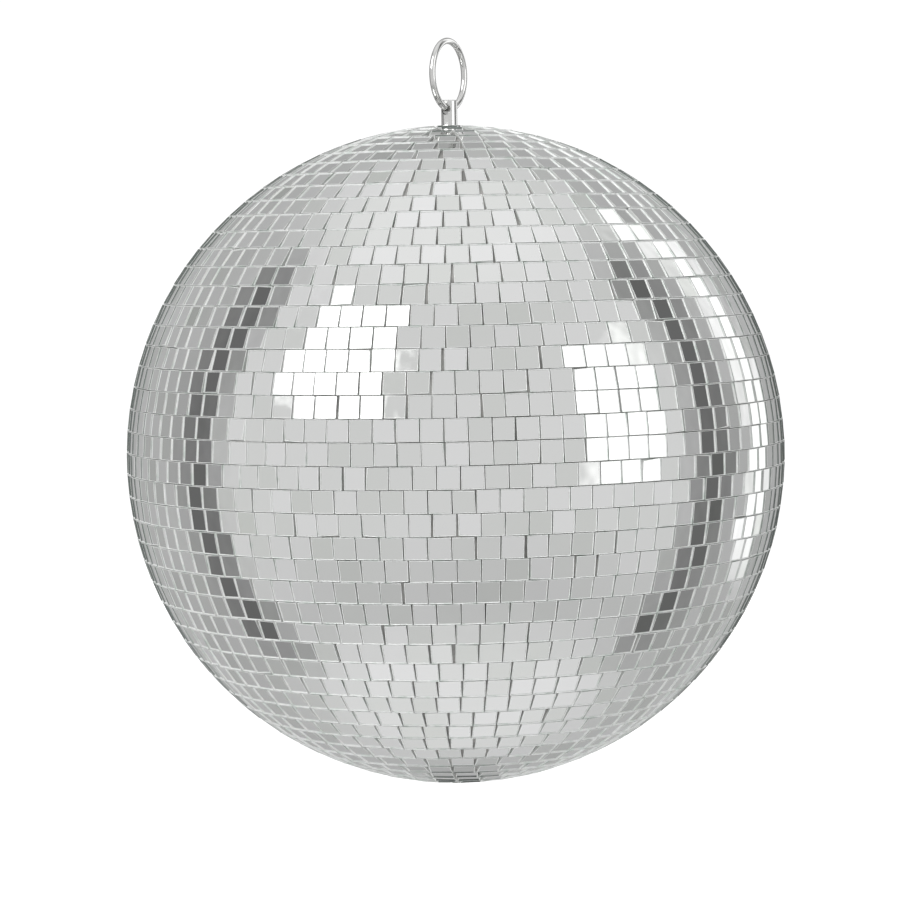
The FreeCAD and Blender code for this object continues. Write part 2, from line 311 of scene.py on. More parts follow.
@dataclass(frozen=True)
class SilveredGlass(Finish):
    """A tile's mirror: nearly true, a little wavy, duller where the silver creeps in from its edge."""

    metal: ClassVar[float] = 1.0
    silver: Colour = (0.945, 0.948, 0.95)
    dull: Colour = (0.70, 0.725, 0.69)
    creep: Colour = (0.64, 0.65, 0.63)
    waves_per_metre: float = 95.0
    wave_depth: float = 0.045 * MM
    creep_width: float = 0.035
    ragged_share: float = 0.8
    clear_roughness: float = 0.012
    hazy_roughness: float = 0.075
    crept_roughness: float = 0.12

    def dress(self, sheet: NodeSheet) -> Surface:
        """Adds the tone of each tile, its creeping edge, its haze and its waves.

        The distance from the tile's border is half less the larger of how far each
        of its own coordinates lies from the middle.

        Args:
            sheet: The material's nodes.

        Returns:
            Colour, roughness and the surface's direction.
        """
        tone, haze, turn = sheet.split(sheet.attribute("tile_tone"))
        across, along, _ = sheet.split(sheet.attribute("tile_map"))
        off_across = sheet.math("ABSOLUTE", sheet.math("SUBTRACT", across, 0.5))
        off_along = sheet.math("ABSOLUTE", sheet.math("SUBTRACT", along, 0.5))
        border = sheet.math("SUBTRACT", 0.5, sheet.math("MAXIMUM", off_across, off_along))
        place = sheet.place()
        uneven = self.creep_width * self.ragged_share
        ragged = sheet.math("MULTIPLY_ADD", sheet.noise(place, 900.0, 3.0), 2 * uneven, -uneven)
        crept = sheet.spread(sheet.math("ADD", border, ragged), 0.0, self.creep_width, 1.0, 0.0)
        colour = sheet.blend(crept, sheet.blend(tone, self.dull, self.silver), self.creep)
        smear = sheet.spread(sheet.noise(place, 260.0, 4.0), 0.3, 0.75, 0.6, 1.6)
        rough = sheet.math("MULTIPLY_ADD", haze, self.hazy_roughness, self.clear_roughness)
        rough = sheet.math("MULTIPLY_ADD", crept, self.crept_roughness, sheet.math("MULTIPLY", rough, smear))
        waves = sheet.noise(sheet.vector("ADD", place, sheet.join(turn, haze)), self.waves_per_metre, 1.0)
        return colour, rough, sheet.bump(waves, self.wave_depth)


@dataclass(frozen=True)
class GroundGlass(Finish):
    """The cut and rubbed edges of a tile: frosted, pale, a little green, with small bright chips.

    Where an edge is seen through the glass its colour is blended to a painted shade as the view
    grows flat, standing in for glass showing less and less of what is inside it.
    """

    paints_grazing_shade: bool = False
    pale: Colour = (0.84, 0.85, 0.845)
    green: Colour = (0.68, 0.73, 0.70)
    # Painted shade: the dark grey that an edge seen through glass turns to at flat views.
    painted_grazing_shade: Colour = (0.10, 0.115, 0.108)
    grazing_shade_full_at: float = 0.008
    grazing_shade_from: float = 0.12
    chip_depth: float = 0.05 * MM

    def dress(self, sheet: NodeSheet) -> Surface:
        """Adds frosting, a tint that comes and goes, chips and the painted shade at flat views.

        Args:
            sheet: The material's nodes.

        Returns:
            Colour, roughness and the surface's direction.
        """
        place = sheet.place()
        tint = sheet.spread(sheet.noise(place, 170.0, 3.0), 0.45, 0.75, 0.0, 1.0)
        chips = sheet.noise(place, 2600.0, 2.0)
        colour = sheet.blend(tint, self.pale, self.green)
        # Painted shade: the colour goes dark as the view grows flat, standing in for the glass hiding the
        # edge behind it.
        if self.paints_grazing_shade:
            weight = sheet.add("ShaderNodeLayerWeight")
            weight.inputs["Blend"].default_value = 0.5
            shown = sheet.spread(weight.outputs["Facing"], self.grazing_shade_full_at, self.grazing_shade_from, 0.0, 1.0)
            colour = sheet.blend(shown, self.painted_grazing_shade, colour)
        return colour, sheet.spread(chips, 0.3, 0.7, 0.28, 0.6), sheet.bump(chips, self.chip_depth)


@dataclass(frozen=True)
class BackingPaint(Finish):
    """The grey paint that protects the silver on a tile's back, brushed on in streaks."""

    paint: Colour = (0.10, 0.105, 0.11)
    thin: Colour = (0.21, 0.21, 0.205)
    grit_depth: float = 0.02 * MM

    def dress(self, sheet: NodeSheet) -> Surface:
        """Adds streaks and fine grit.

        Args:
            sheet: The material's nodes.

        Returns:
            Colour, roughness and the surface's direction.
        """
        place = sheet.place()
        streaks = sheet.noise(place, 320.0, 4.0)
        colour = sheet.blend(streaks, self.paint, self.thin)
        grit = sheet.bump(sheet.noise(place, 1800.0, 2.0), self.grit_depth)
        return colour, sheet.spread(streaks, 0.2, 0.8, 0.5, 0.75), grit


@dataclass(frozen=True)
class DriedGlue(Finish):
    """Spread adhesive that has dried under the tiles: grey, satin, with trowel marks and pin holes."""

    dry: Colour = (0.34, 0.335, 0.325)
    damp: Colour = (0.13, 0.13, 0.125)
    mark_depth: float = 0.2 * MM
    hole_share: float = 0.3

    def dress(self, sheet: NodeSheet) -> Surface:
        """Adds thick and thin spots, satin patches and pin holes.

        Args:
            sheet: The material's nodes.

        Returns:
            Colour, roughness and the surface's direction.
        """
        place = sheet.place()
        spots = sheet.noise(place, 90.0, 5.0)
        holes = sheet.math("MULTIPLY", sheet.noise(place, 1500.0, 3.0), self.hole_share)
        colour = sheet.blend(sheet.spread(spots, 0.35, 0.7, 0.0, 1.0), self.dry, self.damp)
        marks = sheet.bump(sheet.math("ADD", spots, holes), self.mark_depth)
        return colour, sheet.spread(spots, 0.3, 0.7, 0.7, 0.42), marks


@dataclass(frozen=True)
class BrightPlate(Finish):
    """Bright plating on turned or drawn steel, with fine handling scratches and a few dull specks."""

    metal: ClassVar[float] = 1.0
    plate: Colour = (0.80, 0.80, 0.79)
    dull: Colour = (0.56, 0.56, 0.55)
    polish: float = 0.07
    worn_roughness: float = 0.16
    line_roughness: float = 0.07
    line_depth: float = 0.006 * MM
    grain: Colour = (500.0, 500.0, 500.0)

    def dress(self, sheet: NodeSheet) -> Surface:
        """Adds drawing lines, scratches and specks.

        Args:
            sheet: The material's nodes.

        Returns:
            Colour, roughness and the surface's direction.
        """
        place = sheet.place()
        lines = sheet.noise(sheet.vector("MULTIPLY", place, self.grain), 1.0, 3.0)
        specks = sheet.spread(sheet.noise(place, 1400.0, 2.0), 0.62, 0.74, 0.0, 0.6)
        cloud = sheet.spread(sheet.noise(place, 140.0, 3.0), 0.45, 0.8, 0.0, 0.55)
        worn = sheet.math("MAXIMUM", specks, cloud)
        rough = sheet.math("MULTIPLY_ADD", worn, self.worn_roughness, self.polish)
        rough = sheet.math("MULTIPLY_ADD", lines, self.line_roughness, rough)
        return sheet.blend(worn, self.plate, self.dull), rough, sheet.bump(lines, self.line_depth)


@dataclass(frozen=True)
class ZincPlate(Finish):
    """Dull zinc on stamped steel: spangled, slightly blue, with white bloom in patches."""

    metal: ClassVar[float] = 1.0
    zinc: Colour = (0.62, 0.63, 0.65)
    bloom: Colour = (0.74, 0.74, 0.73)
    spangles_per_metre: float = 420.0
    mark_depth: float = 0.015 * MM

    def dress(self, sheet: NodeSheet) -> Surface:
        """Adds spangles, bloom and stamping marks.

        Args:
            sheet: The material's nodes.

        Returns:
            Colour, roughness and the surface's direction.
        """
        place = sheet.place()
        spangle = sheet.add("ShaderNodeTexVoronoi")
        sheet.feed(spangle.inputs["Vector"], place)
        spangle.inputs["Scale"].default_value = self.spangles_per_metre
        bloom = sheet.spread(sheet.noise(place, 160.0, 5.0), 0.5, 0.75, 0.0, 1.0)
        facets = sheet.math("MULTIPLY_ADD", sheet.split(spangle.outputs["Color"])[0], 0.14, 0.3)
        rough = sheet.math("MULTIPLY_ADD", bloom, 0.2, facets)
        marks = sheet.bump(sheet.noise(place, 1100.0, 2.0), self.mark_depth)
        return sheet.blend(bloom, self.zinc, self.bloom), rough, marks


@dataclass(frozen=True)
class MouldedPlastic(Finish):
    """Blown plastic of the hollow core: off-white, softly mottled, with a leathery mould texture."""

    pale: Colour = (0.74, 0.735, 0.71)
    dark: Colour = (0.62, 0.62, 0.60)
    leather_depth: float = 0.05 * MM

    def dress(self, sheet: NodeSheet) -> Surface:
        """Adds mottling and the mould's texture.

        Args:
            sheet: The material's nodes.

        Returns:
            Colour, roughness and the surface's direction.
        """
        place = sheet.place()
        leather = sheet.noise(place, 700.0, 3.0)
        colour = sheet.blend(sheet.noise(place, 45.0, 4.0), self.pale, self.dark)
        return colour, sheet.spread(leather, 0.3, 0.7, 0.48, 0.66), sheet.bump(leather, self.leather_depth)


class Paintbox:
    """All the finishes of this object, each made once."""

    def __init__(self) -> None:
        """Makes every finish."""
        self.mirror = SilveredGlass("silvered_glass").build()
        self.ground = GroundGlass("ground_glass_edge").build()
        # This edge, seen through the glass, gets painted shade at flat views.
        self.sunk = GroundGlass("ground_edge_through_glass", paints_grazing_shade=True).build()
        # Cut sides: frosted ground glass, partly its own tint and partly made darker than the rubbed edges
        # as painted shade in the seams between tiles.
        side = GroundGlass("cut_glass_side_painted_seam_shade", pale=(0.60, 0.61, 0.60), green=(0.42, 0.46, 0.43))
        self.side = side.build()
        self.backing = BackingPaint("mirror_backing_paint").build()
        self.ring = BrightPlate("plated_ring_wire").build()
        self.stem = BrightPlate("plated_turned_stem", polish=0.1, grain=(60.0, 60.0, 2500.0)).build()
        self.zinc = ZincPlate("dull_zinc_plate").build()
        self.plastic = MouldedPlastic("moulded_core_plastic").build()
        self.glue = DriedGlue("dried_tile_glue").build()

    def tile(self) -> list[bpy.types.Material]:
        """Gives a tile's finishes, in the order of TileSide."""
        return [self.mirror, self.ground, self.backing, self.sunk, self.side]


# ---------------------------------------------------------------- mesh making


def signed_volume(points: np.ndarray, corners: list[np.ndarray]) -> float:
    """Adds up the cones from the origin to every face, fanned into triangles: positive if faces point out.

    Args:
        points: All the vertices, one a row.
        corners: Arrays of faces, each a row of vertex numbers.

    Returns:
        Six times the volume, with its sign.
    """
    total = 0.0
    for faces in corners:
        for step in range(1, faces.shape[1] - 1):
            first, second, third = points[faces[:, 0]], points[faces[:, step]], points[faces[:, step + 1]]
            total += float(np.einsum("ij,ij->", first, np.cross(second, third)))
    return total


def make_mesh(name: str, points: np.ndarray, corners: list[np.ndarray], smooth: bool) -> bpy.types.Object:
    """Puts vertices and faces into a new mesh object, with its faces pointing outwards.

    Args:
        name: The piece's name.
        points: All the vertices, one a row, in metres.
        corners: Arrays of faces, each a row of vertex numbers. An array has faces of one kind.
        smooth: Shades the faces as one surface.

    Returns:
        The new object, already in the scene.
    """
    inward = signed_volume(points - points.mean(axis=0), corners) < 0.0
    ordered = [faces[:, ::-1] if inward else faces for faces in corners]
    sides = np.concatenate([np.full(len(faces), faces.shape[1]) for faces in ordered])
    starts = np.concatenate([[0], np.cumsum(sides)[:-1]])
    loops = np.concatenate([faces.ravel() for faces in ordered])
    mesh = bpy.data.meshes.new(name)
    mesh.vertices.add(len(points))
    mesh.vertices.foreach_set("co", points.astype(np.float32).ravel())
    mesh.loops.add(len(loops))
    mesh.loops.foreach_set("vertex_index", loops.astype(np.int32))
    mesh.polygons.add(len(sides))
    mesh.polygons.foreach_set("loop_start", starts.astype(np.int32))
    mesh.polygons.foreach_set("use_smooth", np.full(len(sides), smooth))
    mesh.update(calc_edges=True)
    mesh.validate()
    piece = bpy.data.objects.new(name, mesh)
    bpy.context.scene.collection.objects.link(piece)
    return piece


def skin_round(rows: int, around: int, closed_start: bool, closed_end: bool) -> list[np.ndarray]:
    """Numbers the faces of rings joined one to the next, and of fans that close the ends.

    Vertex i of ring j is number j * around + i. A closed end has one more vertex, after the
    rings: first the start's, then the end's. Face (j, i) joins i and i + 1 of rings j and j + 1.

    Args:
        rows: How many rings.
        around: Vertices in a ring.
        closed_start: Adds a fan on the first ring.
        closed_end: Adds a fan on the last ring.

    Returns:
        An array of four-sided faces, and one of triangles for each closed end.
    """
    here = np.arange(around)
    following = (here + 1) % around
    ring = np.arange(rows - 1)[:, None] * around
    above = ring + around
    quads = np.stack([ring + here, ring + following, above + following, above + here], axis=-1)
    corners = [quads.reshape(-1, 4)]
    start_tip = rows * around
    end_tip = start_tip + int(closed_start)
    if closed_start:
        corners.append(np.stack([following, here, np.full(around, start_tip)], axis=-1))
    if closed_end:
        last = (rows - 1) * around
        corners.append(np.stack([last + here, last + following, np.full(around, end_tip)], axis=-1))
    return corners


def turned(name: str, radius: np.ndarray, height: np.ndarray, smooth: bool = True) -> bpy.types.Object:
    """Turns a closed shape about the Z axis.

    Point (j, i) is radius[j, i] times (cos a, sin a) at height[j], where a is the share i of a
    turn. The two ends close on the axis at the first and the last height.

    Args:
        name: The piece's name.
        radius: One row for each height, one column for each direction.
        height: The heights, in metres.
        smooth: Shades the faces as one surface.

    Returns:
        The new object.
    """
    rows, around = radius.shape
    angle = np.arange(around) / around * 2 * math.pi
    level = np.repeat(height[:, None], around, axis=1)
    rings = np.stack([radius * np.cos(angle), radius * np.sin(angle), level], axis=-1)
    tips = np.array([[0.0, 0.0, height[0]], [0.0, 0.0, height[-1]]])
    points = np.concatenate([rings.reshape(-1, 3), tips])
    return make_mesh(name, points, skin_round(rows, around, True, True), smooth)


def finish_piece(piece: bpy.types.Object, body: Body, slot: Slot, *stands_for: str) -> None:
    """Hangs a piece on its body and hides the plain solids that it stands for.

    Args:
        piece: The finished object.
        body: The body that it moves with.
        slot: The record's slot that its finish comes from. Not used.
        stands_for: Names of the model's nodes.
    """
    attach(piece, body.value)
    if stands_for:
        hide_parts(*stands_for)
    log.info("%s: %d faces, on %s", piece.name, len(piece.data.polygons), body.value)


def sharpen(piece: bpy.types.Object, angle: float = 32.0) -> None:
    """Keeps edges sharper than the angle, in degrees, crisp on a smooth piece."""
    piece.data.set_sharp_from_angle(angle=math.radians(angle))


# ---------------------------------------------------------------- the ring and its stem


@dataclass
class HangingRing:
    """A round wire bent to a ring, cut beside its top, with the burr taken off both cut ends."""

    split_from_top: float = 28.0
    split_gap: float = 1.3 * MM
    end_rounding: float = 0.35 * MM
    spare: float = 0.003 * MM
    around: int = 40
    along: int = 220
    rounding_steps: int = 6

    def build(self, paint: Paintbox) -> bpy.types.Object:
        """Makes and dresses the ring.

        The wire's middle runs on a circle in the XZ plane. At distance d from a cut end its
        radius is the wire's less the rounding, plus the height of a quarter circle at d.

        Args:
            paint: The finishes.

        Returns:
            The ring.
        """
        low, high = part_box("hanging_ring")
        wire = (high.y - low.y) / 2 - self.spare
        bend = (high.x - low.x) / 2 - wire - self.spare
        middle = (low + high) / 2
        length = 2 * math.pi * bend - self.split_gap
        fillet = self.end_rounding * (1 - np.cos(np.linspace(0.0, math.pi / 2, self.rounding_steps)))
        body = np.linspace(self.end_rounding, length - self.end_rounding, self.along)[1:-1]
        distance = np.concatenate([fillet, body, length - fillet[::-1]])
        from_end = np.minimum(np.minimum(distance, length - distance), self.end_rounding)
        lost = self.end_rounding - np.sqrt(self.end_rounding**2 - (self.end_rounding - from_end) ** 2)
        radius = wire - lost
        turn = math.radians(self.split_from_top) + (distance + self.split_gap / 2) / bend
        outward = np.stack([np.sin(turn), np.zeros_like(turn), np.cos(turn)], axis=-1)
        spin = np.arange(self.around) / self.around * 2 * math.pi
        out_share = np.cos(spin)[None, :, None] * outward[:, None, :]
        side_share = np.sin(spin)[None, :, None] * np.array([0.0, 1.0, 0.0])
        wire_middle = np.array(middle) + outward * bend
        rings = wire_middle[:, None, :] + radius[:, None, None] * (out_share + side_share)
        points = np.concatenate([rings.reshape(-1, 3), wire_middle[[0, -1]]])
        ring = make_mesh("wire_ring", points, skin_round(len(distance), self.around, True, True), True)
        sharpen(ring, 50.0)
        ring.data.materials.append(paint.ring)
        finish_piece(ring, Body.RING, Slot.RING_CHROME, "hanging_ring")
        return ring


@dataclass
class HangerStem:
    """The turned stem: a post cross-drilled for the ring, a thin collar, and a threaded shank."""

    post_radius: float = 3.75 * MM
    shank_radius: float = 3.0 * MM
    collar_thick: float = 1.2 * MM
    post_chamfer: float = 0.6 * MM
    hole_radius: float = 2.3 * MM
    hole_flare: float = 0.35 * MM
    thread_pitch: float = 1.0 * MM
    thread_depth: float = 0.28 * MM
    around: int = 96

    def outline(self) -> tuple[np.ndarray, np.ndarray]:
        """Works out the radius in every direction at each height, from the shank's end upwards.

        On the shank the radius falls by the thread's depth times a saw-tooth of the height in
        pitches less the share of a turn, so that the groove winds up as a screw.

        Returns:
            Radii, a row for each height, and the heights.
        """
        low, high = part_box("hanger_stem")
        collar_radius = (high.x - low.x) / 2
        collar_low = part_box("seat_washer")[1].z + 0.02 * MM
        collar_high = collar_low + self.collar_thick
        turn = np.arange(self.around)[None, :] / self.around
        shank_high = collar_low - 0.9 * self.thread_pitch
        shank = np.linspace(low.z + 0.4 * MM, shank_high, 10 * int((shank_high - low.z) / self.thread_pitch))
        phase = (shank[:, None] / self.thread_pitch - turn) % 1.0
        thread = self.shank_radius - self.thread_depth * np.abs(2 * phase - 1)
        soft = 0.12 * MM
        outside = [
            (self.shank_radius - self.thread_depth, collar_low - 0.3 * MM),
            (self.shank_radius - self.thread_depth, collar_low),
            (collar_radius - soft, collar_low),
            (collar_radius, collar_low + soft),
            (collar_radius, collar_high - 2 * soft),
            (collar_radius - 0.6 * soft, collar_high - 0.6 * soft),
            (collar_radius - 2 * soft, collar_high),
            (self.post_radius + 2 * soft, collar_high),
            (self.post_radius + 0.4 * soft, collar_high + 0.5 * soft),
            (self.post_radius, collar_high + 2 * soft),
            (self.post_radius, high.z - self.post_chamfer - soft),
            (self.post_radius - 0.3 * soft, high.z - self.post_chamfer + soft / 2),
            (self.post_radius - self.post_chamfer + soft / 2, high.z - 0.3 * soft),
            (self.post_radius - self.post_chamfer - soft, high.z),
        ]
        upper = np.array(outside)
        tip = np.full((1, self.around), self.shank_radius - self.thread_depth - 0.3 * MM)
        radius = np.concatenate([tip, thread, np.repeat(upper[:, :1], self.around, axis=1)])
        height = np.concatenate([[low.z], shank, upper[:, 1]])
        return radius, height

    def drill(self) -> bpy.types.Object:
        """Makes the tool that cuts the cross-hole: a bar along X that flares towards both ends.

        Its radius is the hole's, plus the flare times the square of how far past the post's
        side it is, so that each mouth is rounded over.

        Returns:
            The tool.
        """
        reach = np.linspace(-1.6, 1.6, 65) * self.post_radius
        past = np.clip((np.abs(reach) - self.post_radius * 0.72) / (self.post_radius * 0.28), 0.0, None)
        radius = np.repeat((self.hole_radius + self.hole_flare * past**2)[:, None], 64, axis=1)
        tool = turned("cross_drill", radius, reach)
        axis = np.array(frame["joints"][0]["pos_m"])
        points = np.empty(len(tool.data.vertices) * 3, np.float32)
        tool.data.vertices.foreach_get("co", points)
        upright = points.reshape(-1, 3)
        lying = np.stack([upright[:, 2], upright[:, 1], -upright[:, 0]], axis=-1) + axis
        tool.data.vertices.foreach_set("co", lying.astype(np.float32).ravel())
        return tool

    def build(self, paint: Paintbox) -> bpy.types.Object:
        """Makes, drills and dresses the stem.

        Args:
            paint: The finishes.

        Returns:
            The stem.
        """
        radius, height = self.outline()
        blank = turned("stem_blank", radius, height)
        tool = self.drill()
        cut = blank.modifiers.new("cross_hole", "BOOLEAN")
        cut.operation = "DIFFERENCE"
        cut.solver = "EXACT"
        cut.object = tool
        depsgraph = bpy.context.evaluated_depsgraph_get()
        mesh = bpy.data.meshes.new_from_object(blank.evaluated_get(depsgraph))
        mesh.name = "turned_stem"
        stem = bpy.data.objects.new("turned_stem", mesh)
        bpy.context.scene.collection.objects.link(stem)
        for spare in (blank, tool):
            bpy.data.objects.remove(spare)
        sharpen(stem)
        stem.data.materials.clear()
        stem.data.materials.append(paint.stem)
        finish_piece(stem, Body.BALL, Slot.STEM_CHROME, "hanger_stem")
        return stem


# ---------------------------------------------------------------- the tiles

MODEL_TRIANGLES = 12
TILE_CORNERS = 16
TILE_FACES = 14

@dataclass(frozen=True)
class TilePlaces:
    """Where a row's tiles are: middles, the three directions of each, and half of each size."""

    middle: np.ndarray
    across: np.ndarray
    up: np.ndarray
    out: np.ndarray
    half: np.ndarray


@dataclass(frozen=True)
class HandWork:
    """How far a tile may stray from its place, as it is cut and set by hand. Angles in degrees."""

    tilt: float = 0.55
    most_tilt: float = 1.5
    turn: float = 0.35
    most_turn: float = 0.7
    shift: float = 0.04 * MM
    sink: float = 0.12 * MM
    cut: float = 0.05 * MM
    chipped: float = 0.025
    chip: float = 0.9 * MM
    short: float = 0.09
    short_by: float = 0.9 * MM


@dataclass
class TileRow:
    """One ring of square mirror tiles: a silver square sunk inside a ground glass rim.

    Clear glass shows only two things, the silver on its back and its own cut edges. The silver
    looks two thirds as deep as it is, so it lies a little below the rim, and the inner face of
    the rim shows wherever the tile is seen from the side.
    """

    node: str
    seed: int
    ball_middle: np.ndarray
    lip: float = 0.11 * MM
    silver_depth: float = 0.40 * MM
    draft: float = 0.03 * MM
    work: HandWork = HandWork()

    def places(self) -> TilePlaces:
        """Reads each tile's place from the model's row: twelve triangles are one tile.

        A tile is a box, so its middle is halfway between its least and greatest corner, and it
        faces straight away from the ball's middle.

        Returns:
            The tiles' places.
        """
        mesh = frame["nodes"][self.node].data
        points = np.empty(len(mesh.vertices) * 3)
        mesh.vertices.foreach_get("co", points)
        corner = np.empty(len(mesh.polygons) * 3, np.int32)
        mesh.polygons.foreach_get("vertices", corner)
        tiles = points.reshape(-1, 3)[corner].reshape(-1, 3 * MODEL_TRIANGLES, 3)
        middle = (tiles.min(axis=1) + tiles.max(axis=1)) / 2
        out = middle - self.ball_middle
        out /= np.linalg.norm(out, axis=1, keepdims=True)
        across = np.cross([0.0, 0.0, 1.0], out)
        across /= np.linalg.norm(across, axis=1, keepdims=True)
        up = np.cross(out, across)
        away = tiles - middle[:, None, :]
        sizes = [np.abs(np.einsum("tvx,tx->tv", away, axis)).max(axis=1) for axis in (across, up, out)]
        return TilePlaces(middle, across, up, out, np.stack(sizes, axis=-1))

    def short_cuts(self, count: int, chance: np.random.Generator) -> np.ndarray:
        """Draws how much the corners of the few tiles that were cut short on one side fall back.

        Args:
            count: How many tiles.
            chance: The row's own random numbers.

        Returns:
            Lengths, as tiles by four corners.
        """
        work = self.work
        is_short = chance.random((count, 1)) < work.short
        on_right = chance.random((count, 1)) < 0.5
        corner_is_right = np.array([[False, True, True, False]])
        length = chance.uniform(0.2, 1.0, (count, 4)) * work.short_by
        return np.where(is_short & (on_right == corner_is_right), length, 0.0)

    def slabs(self, places: TilePlaces, chance: np.random.Generator) -> np.ndarray:
        """Works out the sixteen corners of every tile: back, shoulder, lip and silver, four each.

        A corner is the tile's middle plus its share of the three half sizes along the tile's
        directions. The lip is drawn in from the shoulder, and the silver lies below the lip.
        The hand's tilt and turn bend the three directions.

        Args:
            places: Where the tiles are.
            chance: The row's own random numbers.

        Returns:
            Corners, as tiles by sixteen by three.
        """
        work = self.work
        count = len(places.middle)
        tilt = np.clip(chance.normal(0.0, work.tilt, (count, 2)), -work.most_tilt, work.most_tilt)
        turn = np.clip(chance.normal(0.0, work.turn, count), -work.most_turn, work.most_turn)
        tip, lean = np.radians(tilt).T
        spin = np.radians(turn)
        square = np.array([(-1.0, -1.0), (1.0, -1.0), (1.0, 1.0), (-1.0, 1.0)])
        trimmed = np.array([1.0, 1.0, 0.0]) * np.abs(chance.normal(0.0, work.cut, (count, 1, 3)))
        half = places.half[:, None, :] - trimmed
        skew = np.abs(chance.normal(0.0, work.cut * 0.6, (count, 4, 2)))
        chipped = (chance.random((count, 4)) < work.chipped)[:, :, None]
        chip = np.where(chipped, chance.uniform(0.2, 1.0, (count, 4, 2)) * work.chip, 0.0)
        skew[..., 0] += self.short_cuts(count, chance)
        side = square * (half[:, :, :2] - skew)
        shoulder = side - square * chip
        lip = shoulder - square * self.lip * chance.uniform(0.7, 1.5, (count, 4, 2))
        silver = lip - square * self.draft
        flat = np.concatenate([side, shoulder, lip, silver], axis=1)
        depth = half[:, :, 2]
        four_levels = np.concatenate([-depth, depth, depth, depth - self.silver_depth], axis=1)
        level = np.repeat(four_levels, 4, axis=1)
        x = flat[..., 0] - flat[..., 1] * spin[:, None]
        y = flat[..., 1] + flat[..., 0] * spin[:, None]
        raised = x * np.tan(tip)[:, None] + y * np.tan(lean)[:, None]
        reach = half[:, :, 0] * (np.abs(np.tan(tip)) + np.abs(np.tan(lean)))[:, None]
        sunk = chance.uniform(0.0, work.sink, count)[:, None] + reach
        z = level + raised - np.where(level > 0.0, sunk, sunk * 0.5)
        shift = np.clip(chance.normal(0.0, work.shift, (count, 1, 2)), -2 * work.shift, 2 * work.shift)
        local = np.stack([x + shift[..., 0], y + shift[..., 1], z], axis=-1)
        directions = np.stack([places.across, places.up, places.out], axis=1)
        return places.middle[:, None, :] + np.einsum("tvk,tkx->tvx", local, directions)

    def faces(self, count: int) -> tuple[np.ndarray, np.ndarray]:
        """Numbers the fourteen faces of every tile: silver, back, four sides, four lips, four inner walls.

        Args:
            count: How many tiles.

        Returns:
            The faces, and the kind of surface of each.
        """
        here = np.arange(4)
        following = (here + 1) % 4
        sides = np.stack([here, following, 4 + following, 4 + here], axis=-1)
        tile = np.concatenate([[[12, 13, 14, 15]], [[3, 2, 1, 0]], sides, sides + 4, sides + 8])
        rims = [side.value for side in (TileSide.CUT_SIDE, TileSide.GROUND_EDGE, TileSide.SUNK_EDGE)]
        kinds = [TileSide.MIRROR.value, TileSide.PAINTED_BACK.value] + list(np.repeat(rims, 4))
        every = np.arange(count)[:, None, None] * TILE_CORNERS + tile[None, :, :]
        return every.reshape(-1, 4), np.tile(kinds, count)

    def build(self, paint: Paintbox) -> bpy.types.Object:
        """Makes and dresses the row.

        Args:
            paint: The finishes.

        Returns:
            The row of tiles.
        """
        chance = np.random.default_rng(self.seed)
        places = self.places()
        count = len(places.middle)
        points = self.slabs(places, chance).reshape(-1, 3)
        faces, kinds = self.faces(count)
        row = make_mesh(self.node.replace("tile_row", "mirror_tiles"), points, [faces], False)
        for material in paint.tile():
            row.data.materials.append(material)
        row.data.polygons.foreach_set("material_index", kinds.astype(np.int32))
        silver = chance.beta(4.0, 1.6, count)
        haze = chance.beta(1.2, 5.0, count)
        tone = np.column_stack([silver, haze, chance.random(count)])
        tone_layer = row.data.attributes.new("tile_tone", "FLOAT_VECTOR", "FACE")
        tone_layer.data.foreach_set("vector", np.repeat(tone, TILE_FACES, axis=0).astype(np.float32).ravel())
        corners = np.full((count * TILE_FACES, 4, 2), 0.5, np.float32)
        corners[::TILE_FACES] = np.array([(0.0, 0.0), (1.0, 0.0), (1.0, 1.0), (0.0, 1.0)])
        row.data.uv_layers.new(name="tile_map").data.foreach_set("uv", corners.ravel())
        finish_piece(row, Body.BALL, Slot.MIRROR_GLASS, self.node)
        return row


@dataclass
class PoleMirror:
    """The round mirror that fills the hole in the tiles at the lower pole."""

    rim: float = 0.5 * MM
    rim_deep: float = 0.35 * MM
    around: int = 96

    def build(self, paint: Paintbox) -> bpy.types.Object:
        """Makes and dresses the disc: a flat face, a sloping ground rim, a straight side and a back.

        Args:
            paint: The finishes.

        Returns:
            The disc.
        """
        low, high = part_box("bottom_mirror")
        radius = (high.x - low.x) / 2
        profile = np.array([(radius - self.rim, low.z), (radius, low.z + self.rim_deep), (radius, high.z)])
        rings = np.repeat(profile[:, :1], self.around, axis=1)
        disc = turned("round_pole_mirror", rings, profile[:, 1], False)
        for material in paint.tile():
            disc.data.materials.append(material)
        count = len(disc.data.polygons)
        kinds = np.full(count, TileSide.GROUND_EDGE.value, np.int32)
        kinds[-2 * self.around:-self.around] = TileSide.MIRROR.value
        kinds[-self.around:] = TileSide.PAINTED_BACK.value
        disc.data.polygons.foreach_set("material_index", kinds)
        tone = np.tile(np.array([0.8, 0.1, 0.4], np.float32), count)
        disc.data.attributes.new("tile_tone", "FLOAT_VECTOR", "FACE").data.foreach_set("vector", tone)
        points = np.empty(len(disc.data.vertices) * 3, np.float32)
        disc.data.vertices.foreach_get("co", points)
        corner = np.empty(len(disc.data.loops), np.int32)
        disc.data.loops.foreach_get("vertex_index", corner)
        flat = points.reshape(-1, 3)[corner][:, :2] / (2 * radius) + 0.5
        disc.data.uv_layers.new(name="tile_map").data.foreach_set("uv", flat.astype(np.float32).ravel())
        finish_piece(disc, Body.BALL, Slot.MIRROR_GLASS, "bottom_mirror")
        return disc


